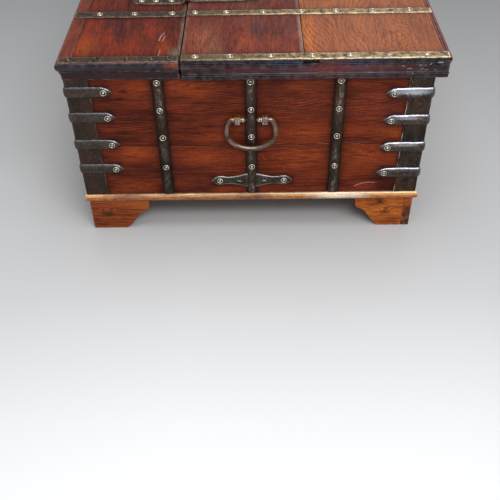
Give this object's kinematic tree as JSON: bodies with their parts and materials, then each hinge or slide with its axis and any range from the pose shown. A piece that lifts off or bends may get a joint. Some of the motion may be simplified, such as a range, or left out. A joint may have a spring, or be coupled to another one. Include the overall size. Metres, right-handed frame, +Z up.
{
  "type": "merchant chest",
  "caption": "Low iron-strapped plank chest on bracket feet with a part-opening lid on strap hinges, a hasp and staple, corner irons and bail handles.",
  "frame": {"origin": "on the floor, under the middle of the overall box", "axes": "+X along the chest, -Y out of the front with the staple, +Z up; the pictured end faces -X"},
  "size_m": [1.1356, 0.7428, 0.4399],
  "materials": {
    "body_wood": "waxed",
    "top_wood": "waxed",
    "moulding_wood": "dark wax",
    "plinth_wood": "polished",
    "foot_wood": "waxed",
    "forged_iron": "forged, dark",
    "lid_iron": "worn bright",
    "handle_steel": "worn"
  },
  "bodies": {
    "carcass": {"corner_iron_front_left": "forged_iron", "corner_iron_front_right": "forged_iron", "corner_iron_rear_left": "forged_iron", "corner_iron_rear_right": "forged_iron", "fixed_top_board": "top_wood", "fixed_top_left_edge_strap": "forged_iron", "fixed_top_left_moulding": "moulding_wood", "fixed_top_left_strap": "forged_iron", "fixed_top_rear_moulding": "moulding_wood", "fixed_top_right_edge_strap": "forged_iron", "fixed_top_right_moulding": "moulding_wood", "fixed_top_right_strap": "forged_iron", "floor_board": "body_wood", "foot_front_left": "foot_wood", "foot_front_right": "foot_wood", "foot_rear_left": "foot_wood", "foot_rear_right": "foot_wood", "front_board": "body_wood", "front_left_strap": "forged_iron", "front_plinth_rail": "plinth_wood", "front_right_strap": "forged_iron", "hasp_staple": "forged_iron", "left_end_center_strap": "forged_iron", "left_end_front_strap": "forged_iron", "left_end_lower_plank": "body_wood", "left_end_rear_strap": "forged_iron", "left_end_upper_plank": "body_wood", "left_handle_front_post": "handle_steel", "left_handle_rear_post": "handle_steel", "left_hinge_pin": "handle_steel", "left_hinge_rear_leaf": "forged_iron", "left_plinth_rail": "plinth_wood", "rear_board": "body_wood", "rear_plinth_rail": "plinth_wood", "right_end_center_strap": "forged_iron", "right_end_front_strap": "forged_iron", "right_end_lower_plank": "body_wood", "right_end_rear_strap": "forged_iron", "right_end_upper_plank": "body_wood", "right_handle_front_post": "handle_steel", "right_handle_rear_post": "handle_steel", "right_hinge_pin": "handle_steel", "right_hinge_rear_leaf": "forged_iron", "right_plinth_rail": "plinth_wood"},
    "lid": {"hasp_pin": "handle_steel", "hasp_plate": "forged_iron", "left_hinge_lid_leaf": "forged_iron", "lid_front_board": "top_wood", "lid_front_moulding": "moulding_wood", "lid_left_edge_strap": "lid_iron", "lid_left_moulding": "moulding_wood", "lid_left_strap": "lid_iron", "lid_rear_board": "top_wood", "lid_right_edge_strap": "lid_iron", "lid_right_moulding": "moulding_wood", "lid_right_strap": "lid_iron", "right_hinge_lid_leaf": "forged_iron"},
    "hasp": {"hasp": "forged_iron"},
    "left_bail": {"left_bail": "handle_steel"},
    "right_bail": {"right_bail": "handle_steel"}
  },
  "joints": [
    {"name": "lid_hinge", "type": "hinge", "parent": "carcass", "child": "lid", "pos_m": [0, 0.1399, 0.4189], "axis": [-1, 0, 0], "range_deg": [0, 175]},
    {"name": "hasp_hinge", "type": "hinge", "parent": "lid", "child": "hasp", "pos_m": [0, -0.3639, 0.4204], "axis": [1, 0, 0], "range_deg": [0, 270]},
    {"name": "left_bail_swing", "type": "hinge", "parent": "carcass", "child": "left_bail", "pos_m": [-0.5615, 0.0099, 0.2856], "axis": [0, 1, 0], "range_deg": [0, 165]},
    {"name": "right_bail_swing", "type": "hinge", "parent": "carcass", "child": "right_bail", "pos_m": [0.5615, 0.0099, 0.2856], "axis": [0, -1, 0], "range_deg": [0, 165]}
  ]
}
